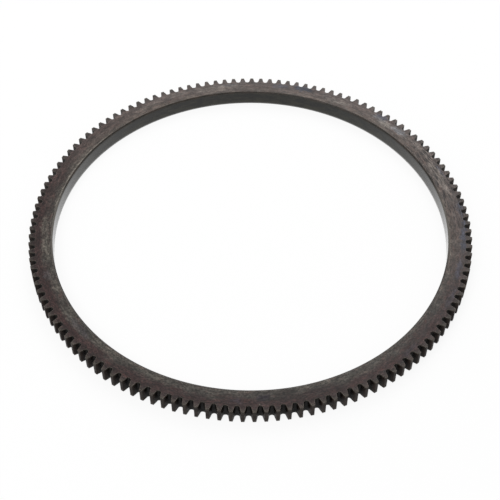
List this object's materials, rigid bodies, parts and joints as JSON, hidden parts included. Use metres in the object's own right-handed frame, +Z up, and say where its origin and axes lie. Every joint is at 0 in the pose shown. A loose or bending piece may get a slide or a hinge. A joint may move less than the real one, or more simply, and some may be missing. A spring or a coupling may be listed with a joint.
{
  "type": "flywheel ring gear",
  "caption": "Toothed steel ring that shrinks onto a flywheel's rim, so that a starter motor's pinion can turn the engine.",
  "frame": {"origin": "centre of the ring's lower face, on the axis of the bore", "axes": "+Z up along the axis of the bore, towards the face with the bore's chamfer; +X through the middle of one tooth"},
  "size_m": [0.3428, 0.3428, 0.0127],
  "materials": {
    "dark_steel": "dark oxidised steel with heat tint, rust-brown mottling and worn edges"
  },
  "bodies": {
    "root": {"ring_gear": "dark_steel"}
  },
  "joints": []
}
